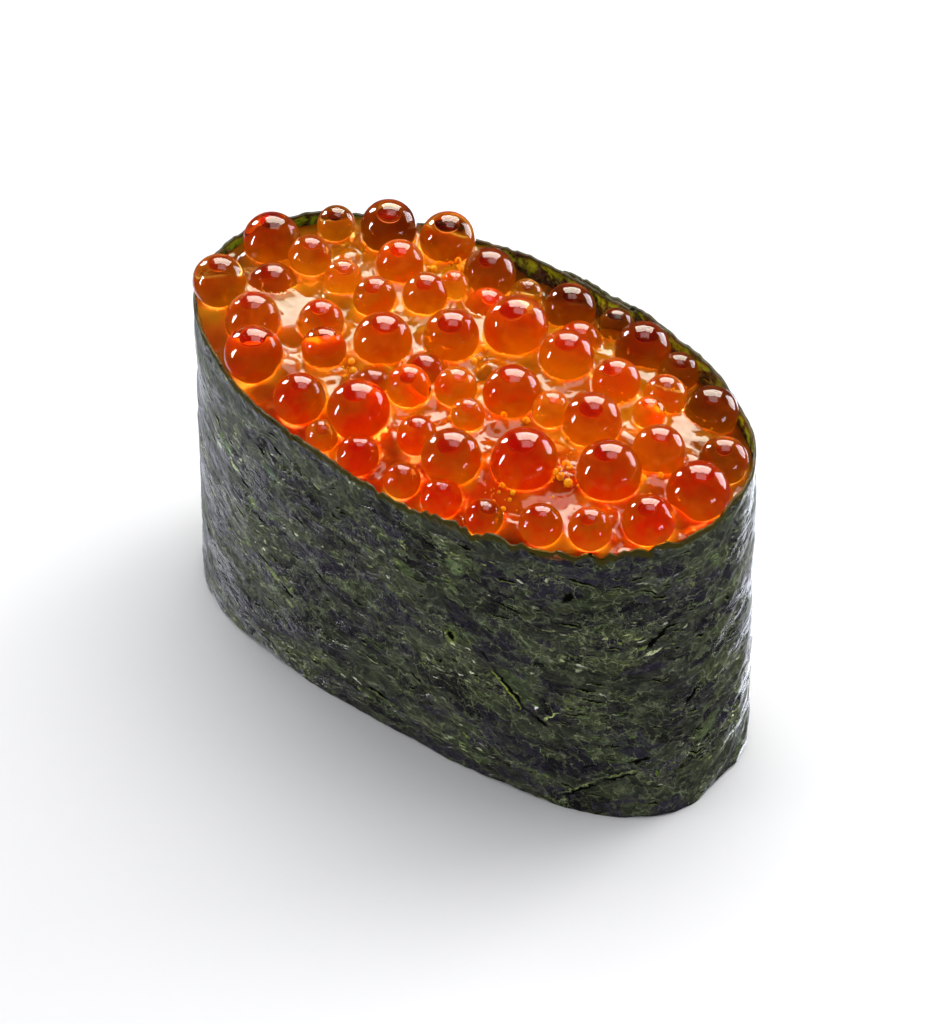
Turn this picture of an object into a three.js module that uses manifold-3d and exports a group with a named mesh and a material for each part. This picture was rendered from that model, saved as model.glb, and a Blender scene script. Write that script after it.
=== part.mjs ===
// Gunkan sushi: pressed rice in a band of roasted seaweed, heaped with salmon roe.
//
// Millimetres, +Z up. It stands on the X-Y plane with the origin at the middle of its underside,
// and X runs along its long axis.

import * as THREE from 'three';
import { mergeVertices } from 'three/addons/utils/BufferGeometryUtils.js';
import Module from 'manifold-3d';

const wasm = await Module();
wasm.setup();

// ---------------------------------------------------------------- driving dimensions

// The band leans out a little from foot to rim, and its ends change from square to round.
// squareness: 2 is an ellipse, more is boxier. taper: how much wider the +X end is than the middle.
// skew: how far a point moves along X for each millimetre across.
const RIM = { halfLength: 26.0, halfWidth: 14.7, squareness: 2.18, taper: 0.06, skew: 0.05, x: 0, y: 0 };
const FOOT = {
  halfLength: 26.5, halfWidth: 12.8, squareness: 2.82, taper: -0.065, skew: -0.045, x: 0.36, y: 0.48,
};
const BAND_HEIGHT = 30.1;
const RIM_RISE_ALONG = -0.35;      // the rim's height at the +X end, against its middle
const RIM_RISE_ACROSS = 0.55;      // and at the +Y side
const RIM_WAVE = 0.22;             // the torn top edge wanders by this much
const FOOT_WAVE = 0.3;             // the bottom edge stands clear of the board by up to this much
const SHEET = 0.35;                // thickness of the seaweed
const LAP_START = 0.2;             // the sheet's ends overlap at the back, in turns round the band
const LAP_TURNS = 0.075;
const LAP_STEP = 0.3;
const PUCKER = 0.12;               // the damp sheet draws in and out a little between the grains
const BAND_STEPS_ROUND = 76;
const BAND_STEPS_UP = 4;

const GAP = 0.3;                   // between pieces that touch

const RICE_TOP = 18.5;
const RICE_RECESS = 0.8;           // the grains of the underside stand this far out of its core
const RICE_STEPS_ROUND = 40;
const GRAIN_LENGTH = 6.6;
const GRAIN_WIDTH = 3.2;
const GRAIN_SPACING = 5.0;
const GRAIN_EDGE = 2.0;            // grain centres stay this far inside the band
const GRAIN_SEED = 7;

const CREST = 31.6;                // height of the egg centres over most of the heap
const BRINE_DROP = 0.6;            // the brine between the eggs lies this far below their centres
const HEAP_STEPS_ROUND = 40;
const HEAP_RINGS = [1, 0.88, 0.6];
const BIG_EGG = 5.0;               // eggs from this size up get the finer mesh
const SMALL_EGGS_TRIED = 300;
const SMALL_EGG_MIN = 3.4;
const SMALL_EGG_MAX = 4.4;
const SMALL_EGG_SINK = 1.3;        // small eggs fill the gaps from this far below the big ones
const SMALL_EGG_CROWDING = 0.86;   // share of two radii that must lie between two centres
const RIM_OVERHANG = 5;            // above the rim the heap may spread this far over the band

// The eggs of the top layer in rows from the back to the front: [along X, across Y, diameter].
const EGG_ROWS = [
  [
    [-19.6, 6.6, 3.3], [-15.1, 8.1, 4.8], [-10.7, 10.5, 4.8], [-6.0, 10.2, 4.5], [-2.4, 10.7, 2.7],
    [1.3, 11.8, 4.3], [5.3, 12.9, 3.0], [8.9, 11.8, 4.7], [12.7, 11.7, 3.4], [18.0, 9.1, 4.4],
  ],
  [
    [-22.9, 2.2, 4.9], [-18.6, 2.1, 3.6], [-11.7, 5.5, 4.0], [-6.7, 6.5, 2.6], [0.5, 5.7, 5.4],
    [5.9, 5.6, 4.5], [10.9, 5.7, 4.0], [14.7, 7.3, 3.6], [15.2, 4.5, 2.7], [22.7, 4.5, 4.1],
  ],
  [
    [-14.5, 1.5, 3.2], [-10.9, 1.3, 3.6], [-7.8, 4.1, 3.8], [-2.9, 1.5, 4.7],
    [9.0, -0.3, 3.2], [12.4, 0.7, 4.8], [18.5, 1.5, 4.4], [23.4, 0.3, 5.0],
  ],
  [
    [-21.5, -5.9, 4.5], [-12.3, -3.8, 3.9], [-6.8, -2.5, 4.9], [1.4, -3.1, 3.5],
    [5.3, -0.7, 4.7], [17.0, -3.0, 5.3], [22.4, -4.8, 4.2],
  ],
  [
    [-17.0, -6.9, 4.7], [-10.0, -6.1, 3.7], [-1.6, -5.4, 3.7],
    [4.2, -5.0, 2.8], [11.1, -6.3, 5.5], [19.4, -8.4, 3.6],
  ],
  [
    [-14.4, -9.8, 4.9], [-8.3, -11.1, 4.4], [-3.1, -9.9, 5.1],
    [2.6, -9.4, 3.3], [6.3, -9.6, 4.8], [16.0, -10.3, 3.5],
  ],
  [[-4.5, -12.8, 2.7], [-0.7, -12.8, 3.4], [3.9, -12.8, 3.0], [7.6, -12.4, 3.4], [11.6, -11.9, 3.1]],
];

// ---------------------------------------------------------------- small helpers

const smoothstep = THREE.MathUtils.smoothstep;
const lerp = THREE.MathUtils.lerp;
const TURN = 2 * Math.PI;

function power(value, exponent) {
  return Math.sign(value) * Math.abs(value) ** exponent;
}

// A smooth hill of height 1 at (x0, y0), falling off over the two reaches.
function hill(x, y, x0, y0, reachX, reachY) {
  return Math.exp(-(((x - x0) / reachX) ** 2) - ((y - y0) / reachY) ** 2);
}

// The n-th member of a spread-out sequence between 0 and 1, for one prime base.
function spread(n, base) {
  let value = 0;
  let share = 1 / base;
  let rest = n;
  while (rest > 0) {
    value += share * (rest % base);
    rest = Math.floor(rest / base);
    share /= base;
  }
  return value;
}

function makeRandom(seed) {
  let state = seed;
  return () => {
    state = (state * 16807) % 2147483647;
    return state / 2147483647;
  };
}

// ---------------------------------------------------------------- the band's outline

function outlinePoint(plan, angle) {
  const x = plan.halfLength * power(Math.cos(angle), 2 / plan.squareness);
  const widening = 1 + (plan.taper * x) / plan.halfLength;
  const y = plan.halfWidth * power(Math.sin(angle), 2 / plan.squareness) * widening;
  return new THREE.Vector2(x + plan.skew * y + plan.x, y + plan.y);
}

// Foot and rim blended: share is 0 at the foot and 1 at the rim.
function leaningPoint(angle, share) {
  return outlinePoint(FOOT, angle).lerp(outlinePoint(RIM, angle), share);
}

// Angles for even steps round the band, by its length at half height.
const EVEN_SAMPLES = 1440;
const lengthSoFar = [0];
for (let i = 1; i <= EVEN_SAMPLES; i++) {
  const before = leaningPoint(((i - 1) / EVEN_SAMPLES) * TURN, 0.5);
  const here = leaningPoint((i / EVEN_SAMPLES) * TURN, 0.5);
  lengthSoFar.push(lengthSoFar[i - 1] + before.distanceTo(here));
}

function angleAtTurn(turn) {
  const wanted = turn * lengthSoFar[EVEN_SAMPLES];
  const next = Math.max(1, lengthSoFar.findIndex((length) => length >= wanted));
  const within = (wanted - lengthSoFar[next - 1]) / (lengthSoFar[next] - lengthSoFar[next - 1]);
  return ((next - 1 + within) / EVEN_SAMPLES) * TURN;
}

// A point of the band's outer face, moved inwards by inset along the outline's normal.
function bandPoint(turn, share, inset) {
  const STEP = 0.004;
  const angle = angleAtTurn(turn);
  const tangent = leaningPoint(angle + STEP, share).sub(leaningPoint(angle - STEP, share)).normalize();
  const inwards = new THREE.Vector2(-tangent.y, tangent.x);
  return leaningPoint(angle, share).addScaledVector(inwards, inset);
}

function rimHeight(x, y) {
  const along = (RIM_RISE_ALONG * x) / RIM.halfLength;
  const across = (RIM_RISE_ACROSS * y) / RIM.halfWidth;
  return BAND_HEIGHT + along + across;
}

// ---------------------------------------------------------------- meshes from rings of points

function meshGeometry(points, faces) {
  const geometry = new THREE.BufferGeometry();
  geometry.setAttribute('position', new THREE.Float32BufferAttribute(points.flat(), 3));
  geometry.setIndex(faces.flat());
  return geometry;
}

// Joins ring to ring: rings[k][i] is point i of ring k, and every ring runs anticlockwise from above.
// Successive rings go outwards and up the outside, so the faces look out.
function joinRings(rings, faces, from, to) {
  const count = rings[0].length;
  for (let i = 0; i < count; i++) {
    const next = (i + 1) % count;
    const [a, b] = [from * count + i, from * count + next];
    const [c, d] = [to * count + next, to * count + i];
    faces.push([a, b, c], [a, c, d]);
  }
}

// A closed body from a bottom centre, a stack of rings and a top centre.
function stackedBody(bottomCentre, rings, topCentre) {
  const count = rings[0].length;
  const points = [...rings.flat(), bottomCentre, topCentre];
  const bottom = points.length - 2;
  const top = points.length - 1;
  const lastRing = (rings.length - 1) * count;
  const faces = [];
  for (let k = 0; k + 1 < rings.length; k++) {
    joinRings(rings, faces, k, k + 1);
  }
  for (let i = 0; i < count; i++) {
    const next = (i + 1) % count;
    faces.push([bottom, next, i], [top, lastRing + i, lastRing + next]);
  }
  return meshGeometry(points, faces);
}

function toSolid(geometry) {
  const bare = geometry.clone();
  bare.deleteAttribute('normal');
  bare.deleteAttribute('uv');
  const merged = mergeVertices(bare, 1e-4);
  return new wasm.Manifold(new wasm.Mesh({
    numProp: 3,
    vertProperties: new Float32Array(merged.attributes.position.array),
    triVerts: new Uint32Array(merged.index.array),
  }));
}

// The largest closed piece of a solid as a geometry: loose scraps and sealed hollows are left out.
function toGeometry(solid) {
  const SLIVER = 0.03;
  const pieces = solid.simplify(SLIVER).decompose();
  const largest = pieces.reduce((best, piece) => (piece.volume() > best.volume() ? piece : best));
  const mesh = largest.getMesh();
  const geometry = new THREE.BufferGeometry();
  geometry.setAttribute('position', new THREE.BufferAttribute(mesh.vertProperties, 3));
  geometry.setIndex(new THREE.BufferAttribute(mesh.triVerts, 1));
  return geometry;
}

// ---------------------------------------------------------------- seaweed band

// The outer end of the sheet lies over the inner one: it climbs onto it and then stops in a step.
function lapLift(turn) {
  const end = LAP_START + LAP_TURNS;
  return turn <= end ? LAP_STEP * smoothstep(turn, LAP_START, LAP_START + 0.4 * LAP_TURNS) : 0;
}

function pucker(turn, share) {
  const swell = Math.sin(TURN * (9 * turn + 0.8 * share)) * Math.sin(TURN * (1.3 * share + 4 * turn));
  return PUCKER * swell * Math.sin(Math.PI * share);
}

function rimWave(turn) {
  return RIM_WAVE * (0.6 * Math.sin(TURN * 7 * turn + 1) + 0.4 * Math.sin(TURN * 17 * turn));
}

function footWave(turn) {
  return FOOT_WAVE * (0.5 + 0.5 * Math.sin(TURN * 6 * turn + 2)) * (0.5 + 0.5 * Math.sin(TURN * 11 * turn));
}

function seaweedBand() {
  const LAP_EDGE = 0.001;
  const lapEnd = LAP_START + LAP_TURNS;
  const turns = Array.from({ length: BAND_STEPS_ROUND }, (_, i) => i / BAND_STEPS_ROUND);
  const stepTurns = turns.filter((turn) => Math.abs(turn - lapEnd) > 3 * LAP_EDGE);
  const allTurns = [...stepTurns, lapEnd, lapEnd + LAP_EDGE].sort((a, b) => a - b);

  const wallPoint = (turn, share, inset) => {
    const point = bandPoint(turn, share, inset);
    const top = rimHeight(point.x, point.y) + rimWave(turn);
    return [point.x, point.y, lerp(footWave(turn), top, share)];
  };
  const shares = Array.from({ length: BAND_STEPS_UP + 1 }, (_, k) => k / BAND_STEPS_UP);
  const outer = shares.map((share) => allTurns.map(
    (turn) => wallPoint(turn, share, -lapLift(turn) - pucker(turn, share)),
  ));
  const inner = shares.map((share) => allTurns.map(
    (turn) => wallPoint(turn, share, SHEET - pucker(turn, share)),
  ));
  const rings = [...outer, ...inner.reverse()];
  const faces = [];
  for (let k = 0; k < rings.length; k++) {
    joinRings(rings, faces, k, (k + 1) % rings.length);
  }
  return meshGeometry(rings.flat(), faces);
}

// ---------------------------------------------------------------- rice

// A ring of the band's inner outline at one height, shrunk by inset.
function innerRing(height, inset, count) {
  const share = THREE.MathUtils.clamp(height / BAND_HEIGHT, 0, 1);
  return Array.from({ length: count }, (_, i) => {
    const point = bandPoint(i / count, share, SHEET + PUCKER + inset);
    return [point.x, point.y, height];
  });
}

function insideFoot(x, y, margin) {
  const u = Math.abs(x - FOOT.x) / (FOOT.halfLength - margin);
  const v = Math.abs(y - FOOT.y) / (FOOT.halfWidth - margin);
  return u ** FOOT.squareness + v ** FOOT.squareness < 1;
}

function riceGrain(x, y, z, heading, lean) {
  const grain = new THREE.SphereGeometry(1, 6, 3);
  grain.rotateX(Math.PI / 2);
  grain.scale(GRAIN_LENGTH / 2, GRAIN_WIDTH / 2, GRAIN_WIDTH / 2);
  grain.rotateY(lean);
  grain.rotateZ(heading);
  grain.translate(x, y, z);
  return toSolid(grain);
}

// The pressed block, with the grains of its underside standing out and flattened by the board.
function riceBlock() {
  const EDGE_ROUNDING = 0.5;
  const body = toSolid(stackedBody(
    [FOOT.x, FOOT.y, RICE_RECESS],
    [
      innerRing(RICE_RECESS, GAP + EDGE_ROUNDING, RICE_STEPS_ROUND),
      innerRing(RICE_RECESS + EDGE_ROUNDING, GAP, RICE_STEPS_ROUND),
      innerRing(RICE_TOP - EDGE_ROUNDING, GAP, RICE_STEPS_ROUND),
      innerRing(RICE_TOP, GAP + EDGE_ROUNDING, RICE_STEPS_ROUND),
    ],
    [0, 0, RICE_TOP],
  ));
  const random = makeRandom(GRAIN_SEED);
  const grains = [];
  const rows = Math.ceil(FOOT.halfWidth / GRAIN_SPACING);
  const columns = Math.ceil(FOOT.halfLength / GRAIN_SPACING);
  for (let row = -rows; row <= rows; row++) {
    for (let column = -columns; column <= columns; column++) {
      const middle = row === 0 && column === 0;
      const jitter = middle ? 0 : 0.28 * GRAIN_SPACING;
      const shift = row % 2 === 0 ? 0 : 0.5;
      const x = (column + shift) * GRAIN_SPACING + jitter * (random() - 0.5);
      const y = row * 0.78 * GRAIN_SPACING + jitter * (random() - 0.5);
      const heading = middle ? 0 : Math.PI * random();
      const lean = middle ? 0 : 0.35 * (random() - 0.5);
      const z = 0.5 * GRAIN_WIDTH - (middle ? 0.45 : 0.4 * random());
      if (insideFoot(x, y, GRAIN_EDGE)) {
        grains.push(riceGrain(x, y, z, heading, lean));
      }
    }
  }
  const BOARD_SIZE = 100;
  const board = new THREE.BoxGeometry(BOARD_SIZE, BOARD_SIZE, BOARD_SIZE);
  board.translate(0, 0, -BOARD_SIZE / 2);
  const inside = toSolid(stackedBody(
    [0, 0, -1],
    [innerRing(-1, GAP, RICE_STEPS_ROUND), innerRing(RICE_TOP, GAP, RICE_STEPS_ROUND)],
    [0, 0, RICE_TOP],
  ));
  const heaped = grains.reduce((whole, grain) => whole.add(grain), body);
  return toGeometry(heaped.intersect(inside).subtract(toSolid(board)));
}

// ---------------------------------------------------------------- roe

// How far out a place is: 0 in the middle of the heap and 1 at the rim.
function reach(x, y) {
  const u = Math.abs(x / RIM.halfLength) ** RIM.squareness;
  const v = Math.abs(y / RIM.halfWidth) ** RIM.squareness;
  return (u + v) ** (1 / RIM.squareness);
}

// The height of the egg centres: level, falling to the band all round, piled up at the back of
// the -X end, with one egg perched on the rim there and a trough along the rest of the back.
function crest(x, y) {
  const fall = 1.7 * reach(x, y) ** 6;
  const pile = 1.3 * hill(x, y, -14.5, 9.0, 6, 4.5);
  const perch = 1.7 * hill(x, y, -21.7, -5.9, 3, 2.5);
  const trough = 1.1 * smoothstep(y, 5.5, 11.5) * smoothstep(x, -9, -4);
  const frontDip = smoothstep(-y, 9.5, 12.0);
  return CREST - fall + pile + perch - trough - frontDip;
}

function topEggs() {
  return EGG_ROWS.flat().map(([x, y, diameter]) => ({ x, y, z: crest(x, y), diameter }));
}

// Small eggs from the layer below fill the gaps, wherever a spread-out place has room for one.
function smallEggs(placed) {
  const eggs = [...placed];
  for (let n = 1; n <= SMALL_EGGS_TRIED; n++) {
    const x = (2 * spread(n, 2) - 1) * RIM.halfLength;
    const y = (2 * spread(n, 3) - 1) * RIM.halfWidth;
    const diameter = lerp(SMALL_EGG_MIN, SMALL_EGG_MAX, spread(n, 5));
    const z = crest(x, y) - SMALL_EGG_SINK;
    const rim = 1 - (0.5 * diameter + SHEET + GAP) / RIM.halfWidth;
    const clear = eggs.every((egg) => {
      const away = Math.hypot(egg.x - x, egg.y - y, egg.z - z);
      return away > SMALL_EGG_CROWDING * 0.5 * (egg.diameter + diameter);
    });
    if (clear && reach(x, y) < rim) {
      eggs.push({ x, y, z, diameter });
    }
  }
  return eggs.slice(placed.length);
}

function eggSolid(egg) {
  const detail = egg.diameter >= BIG_EGG ? 2 : 1;
  const ball = new THREE.IcosahedronGeometry(egg.diameter / 2, detail);
  ball.translate(egg.x, egg.y, egg.z);
  return toSolid(ball);
}

// The space the roe may fill: inside the band up to the rim, and wider above it.
function heapRoom() {
  const count = HEAP_STEPS_ROUND;
  const CEILING = 60;
  const overRim = (inset, lift) => Array.from({ length: count }, (_, i) => {
    const point = bandPoint(i / count, 1, inset);
    return [point.x, point.y, rimHeight(point.x, point.y) + RIM_WAVE + lift];
  });
  const ceiling = overRim(-RIM_OVERHANG, 0).map(([x, y]) => [x, y, CEILING]);
  return toSolid(stackedBody(
    [0, 0, RICE_TOP + GAP],
    [
      innerRing(RICE_TOP + GAP, GAP, count),
      overRim(SHEET + GAP, GAP),
      overRim(-RIM_OVERHANG, 2 * GAP),
      ceiling,
    ],
    [0, 0, CEILING],
  ));
}

// The core under the eggs: it fills the band above the rice, up to the brine between the eggs.
function heapCore() {
  const count = HEAP_STEPS_ROUND;
  const bottom = innerRing(RICE_TOP + GAP, GAP, count);
  const upTo = (share) => Array.from({ length: count }, (_, i) => {
    const point = bandPoint(i / count, 1, SHEET + PUCKER + GAP).multiplyScalar(share);
    return [point.x, point.y, crest(point.x, point.y) - BRINE_DROP];
  });
  return toSolid(stackedBody(
    [0, 0, RICE_TOP + GAP],
    [bottom, ...HEAP_RINGS.map(upTo)],
    [0, 0, crest(0, 0) - BRINE_DROP],
  ));
}

function roeHeap() {
  const top = topEggs();
  const eggs = [...top, ...smallEggs(top)];
  const heap = eggs.reduce((whole, egg) => whole.add(eggSolid(egg)), heapCore());
  return toGeometry(heap.intersect(heapRoom()));
}

// ---------------------------------------------------------------- the sushi

function piece(name, geometry, color, roughness) {
  const mesh = new THREE.Mesh(geometry, new THREE.MeshStandardMaterial({ color, roughness, metalness: 0 }));
  mesh.name = name;
  return mesh;
}

const group = new THREE.Group();
group.name = 'gunkan_sushi';
group.add(
  piece('seaweed_band', seaweedBand(), 0x1f2a1c, 0.45),
  piece('rice_block', riceBlock(), 0xe9e4d6, 0.6),
  piece('roe_heap', roeHeap(), 0xd9480f, 0.12),
);

export default group;
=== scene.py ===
import math
from functools import partial

import bpy
import numpy as np
from mathutils import Matrix, Vector


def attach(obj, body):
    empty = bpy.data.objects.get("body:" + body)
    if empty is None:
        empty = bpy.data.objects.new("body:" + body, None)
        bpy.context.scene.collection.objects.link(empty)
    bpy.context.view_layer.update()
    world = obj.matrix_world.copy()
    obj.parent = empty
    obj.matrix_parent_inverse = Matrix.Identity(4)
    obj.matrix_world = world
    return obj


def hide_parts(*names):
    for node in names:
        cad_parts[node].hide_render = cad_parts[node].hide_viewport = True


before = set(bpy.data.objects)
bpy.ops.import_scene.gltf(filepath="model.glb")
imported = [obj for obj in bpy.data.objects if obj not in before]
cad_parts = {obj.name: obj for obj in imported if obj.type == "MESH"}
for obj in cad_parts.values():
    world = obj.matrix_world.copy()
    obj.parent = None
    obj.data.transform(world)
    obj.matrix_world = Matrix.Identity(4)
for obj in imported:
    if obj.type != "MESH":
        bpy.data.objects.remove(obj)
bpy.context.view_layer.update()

MM = 0.001
TURN = 2 * math.pi

# ---- camera

VIEW_AZIMUTH = 39.4          # degrees round from +Y, so the +X end comes forward on the right
VIEW_ELEVATION = 43.0
VIEW_DISTANCE = 400.0
IMAGE_PX = (950, 1024)
AIM = (0.0, 0.0, 15.05)      # the middle of the sushi
AIM_PX = (467.0, 510.5)      # where that falls in the image
PX_PER_MM = 12.0
SENSOR = 36.0

AZIMUTH = math.radians(VIEW_AZIMUTH)
ELEVATION = math.radians(VIEW_ELEVATION)
RIGHT = Vector((math.cos(AZIMUTH), math.sin(AZIMUTH), 0))      # to the right, seen from the camera
AWAY = Vector((-math.sin(AZIMUTH), math.cos(AZIMUTH), 0))      # level, and away from the camera
UP = Vector((0, 0, 1))


def make_camera():
    """A long lens on the aim point, then slid sideways and up so that the aim falls on its pixel."""
    back = UP * math.sin(ELEVATION) - AWAY * math.cos(ELEVATION)
    above = back.cross(RIGHT)
    slide_right = (IMAGE_PX[0] / 2 - AIM_PX[0]) / PX_PER_MM
    slide_up = (AIM_PX[1] - IMAGE_PX[1] / 2) / PX_PER_MM
    place = Vector(AIM) + back * VIEW_DISTANCE + RIGHT * slide_right + above * slide_up
    turned = Matrix((RIGHT, above, back)).transposed().to_4x4()
    data = bpy.data.cameras.new("camera")
    data.sensor_fit = "VERTICAL"
    data.sensor_height = SENSOR
    data.lens = PX_PER_MM * VIEW_DISTANCE * SENSOR / IMAGE_PX[1]
    data.clip_start = 0.01
    data.clip_end = 10
    camera = bpy.data.objects.new("camera", data)
    camera.matrix_world = Matrix.Translation(place * MM) @ turned
    bpy.context.collection.objects.link(camera)
    bpy.context.scene.camera = camera


make_camera()

# ---- sizes

# The band's outlines. squareness: 2 is an ellipse and more is boxier. taper: how much wider the +X
# end is than the middle. skew: how far a point moves along X for each millimetre across.
RIM = dict(half_length=26.0, half_width=14.7, squareness=2.18, taper=0.06, skew=0.05, x=0.0, y=0.0)
FOOT = dict(half_length=26.5, half_width=12.8, squareness=2.82, taper=-0.065, skew=-0.045, x=0.36, y=0.48)
BAND_HEIGHT = 30.1
RIM_RISE_ALONG = -0.35
RIM_RISE_ACROSS = 0.55
RIM_WAVE = 0.22
FOOT_WAVE = 0.3
SHEET = 0.24                 # thickness of the nori
LAP_START = 0.2              # the sheet's ends overlap at the back, in turns round the band
LAP_TURNS = 0.075
LAP_LIFT = 0.3
PUCKER = 0.12

RICE_TOP = 18.5
GRAIN = (6.6, 3.2)           # length and width of a cooked grain
GRAIN_SPACING = 5.0
GRAIN_MARGIN = 2.0           # grains start at least this far in from the foot's outline
GRAIN_WALL = 0.75            # and are pressed to lie at least this far in from it

CREST = 31.6                 # height of the egg centres over most of the heap
BRINE_DROP = 1.0             # the brine between the eggs lies this far below their centres
SMALL_EGGS_TRIED = 300
SMALL_EGG_MIN = 3.4
SMALL_EGG_MAX = 4.4
SMALL_EGG_SINK = 1.3
SMALL_EGG_CROWDING = 0.86
SMALL_EGG_WALL = 0.65        # the room between a small egg and the rim's outline
EGG_WALL = 0.34              # eggs pressed by the band keep this far inside the rim's outline
SUNK_EGGS_TRIED = 900
SUNK_RADII = (1.5, 2.2)
SUNK_RISES = (0.1, 0.55)     # how far the top of a sunk egg stands above the level of the brine
SUNK_CROWDING = (0.80, 0.82)     # beside the eggs above it, and beside each other
# Each ball's points round and steps from pole to pole, and the seed of what is random about it.
EGG_BALL, EGG_SEED = (40, 26), 11
OIL_BALL, OIL_SEED = (24, 12), 23
BUBBLE_BALL, BUBBLE_SEED = (9, 6), 5
GRAIN_BALL, GRAIN_SEED = (14, 10), 7
CALM_POOLS = ((-16.9, -3.1, 3.2, 2.2), (15.1, 4.8, 3.0, 1.8))    # along X, across Y, and both reaches
# Two eggs painted darker with shade, and made less warm: along X, across Y, and both reaches.
SHADED_EGGS = ((-14.4, -9.8, 2.4, 2.4), (-10.0, -6.1, 1.9, 1.9))  # the same, for two darker eggs

# The eggs of the top layer in rows from the back to the front: (along X, across Y, diameter).
EGG_ROWS = (
    ((-19.6, 6.6, 3.3), (-15.1, 8.1, 4.8), (-10.7, 10.5, 4.8), (-6.0, 10.2, 4.5), (-2.4, 10.7, 2.7),
     (1.3, 11.8, 4.3), (5.3, 12.9, 3.0), (8.9, 11.8, 4.7), (12.7, 11.7, 3.4), (18.0, 9.1, 4.4)),
    ((-22.9, 2.2, 4.9), (-18.6, 2.1, 3.6), (-11.7, 5.5, 4.0), (-6.7, 6.5, 2.6), (0.5, 5.7, 5.4),
     (5.9, 5.6, 4.5), (10.9, 5.7, 4.0), (14.7, 7.3, 3.6), (15.2, 4.5, 2.7), (22.7, 4.5, 4.1)),
    ((-14.5, 1.5, 3.2), (-10.9, 1.3, 3.6), (-7.8, 4.1, 3.8), (-2.9, 1.5, 4.7),
     (9.0, -0.3, 3.2), (12.4, 0.7, 4.8), (18.5, 1.5, 4.4), (23.4, 0.3, 5.0)),
    ((-21.5, -5.9, 4.5), (-12.3, -3.8, 3.9), (-6.8, -2.5, 4.9), (1.4, -3.1, 3.5),
     (5.3, -0.7, 4.7), (17.0, -3.0, 5.3), (22.4, -4.8, 4.2)),
    ((-17.0, -6.9, 4.7), (-10.0, -6.1, 3.7), (-1.6, -5.4, 3.7),
     (4.2, -5.0, 2.8), (11.1, -6.3, 5.5), (19.4, -8.4, 3.6)),
    ((-14.4, -9.8, 4.9), (-8.3, -11.1, 4.4), (-3.1, -9.9, 5.1),
     (2.6, -9.4, 3.3), (6.3, -9.6, 4.8), (16.0, -10.3, 3.5)),
    ((-4.5, -12.8, 2.7), (-0.7, -12.8, 3.4), (3.9, -12.8, 3.0), (7.6, -12.4, 3.4), (11.6, -11.9, 3.1)),
)

# ---- small helpers


def smoothstep(value, low, high):
    """0 below low, 1 above high, and t²(3 - 2t) of the share between them."""
    t = np.clip((value - low) / (high - low), 0, 1)
    return t * t * (3 - 2 * t)


def lerp(start, end, share):
    """The value a share of the way from start to end."""
    return start + (end - start) * share


def power(value, exponent):
    """A power of the size of a value, with the value's sign."""
    return np.sign(value) * np.abs(value) ** exponent


def hashed(i, j, seed):
    """A fixed random number from 0 to 1 for each pair of whole numbers: the fraction of a large sine."""
    value = np.sin(i * 127.1 + j * 311.7 + seed * 74.7) * 43758.5453
    return value - np.floor(value)


def mottle(x, y, seed):
    """Smooth noise from 0 to 1: a hashed height at each whole x and y, blended by smoothstep between."""
    i, j = np.floor(x), np.floor(y)
    across = smoothstep(x - i, 0, 1)
    along = smoothstep(y - j, 0, 1)
    low = lerp(hashed(i, j, seed), hashed(i + 1, j, seed), across)
    high = lerp(hashed(i, j + 1, seed), hashed(i + 1, j + 1, seed), across)
    return lerp(low, high, along)


def bumps(x, y, reach_x, reach_y, height, seed):
    """Mottle about 0: height times its distance from a half, with hills one reach apart each way."""
    return height * (mottle(x / reach_x, y / reach_y, seed) - 0.5)


def hill(x, y, x0, y0, reach_x, reach_y):
    """exp of minus the squared distance from (x0, y0), measured in the two reaches."""
    return np.exp(-(((x - x0) / reach_x) ** 2) - ((y - y0) / reach_y) ** 2)


def make_piece(name, points, faces, material, attributes=None):
    """A smooth mesh piece from points in millimetres and lists of corner numbers, with one value or
    vector of each attribute per point."""
    mesh = bpy.data.meshes.new(name)
    mesh.from_pydata((np.asarray(points) * MM).tolist(), [], faces)
    mesh.polygons.foreach_set("use_smooth", np.ones(len(mesh.polygons), dtype=bool))
    for label, values in (attributes or {}).items():
        values = np.asarray(values, dtype=np.float32)
        kind, field = ("FLOAT", "value") if values.ndim == 1 else ("FLOAT_VECTOR", "vector")
        mesh.attributes.new(label, kind, "POINT").data.foreach_set(field, values.ravel())
    mesh.materials.append(material)
    mesh.update()
    piece = bpy.data.objects.new(name, mesh)
    bpy.context.collection.objects.link(piece)
    return piece


def finish_piece(piece, node_name):
    """Fastens a piece to the body, and hides the imported part of the node it stands for."""
    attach(piece, "root")
    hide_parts(node_name)


def grid_faces(rows, columns, close_columns=False):
    """Quads of a grid of points stored row by row. Rows run up and columns run anticlockwise."""
    row = np.arange(rows - 1)[:, None]
    column = np.arange(columns if close_columns else columns - 1)[None, :]
    a = row * columns + column
    b = row * columns + (column + 1) % columns
    return np.stack([a, b, b + columns, a + columns], axis=-1).reshape(-1, 4)


def fan(middle, ring, faces_down=False):
    """Triangles from a middle point to each side of a closed ring of corner numbers. Round an
    anticlockwise ring they face up, or down if asked."""
    following = np.roll(ring, -1)
    sides = (following, ring) if faces_down else (ring, following)
    return np.stack([np.full(len(ring), middle), *sides], axis=-1)


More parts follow.
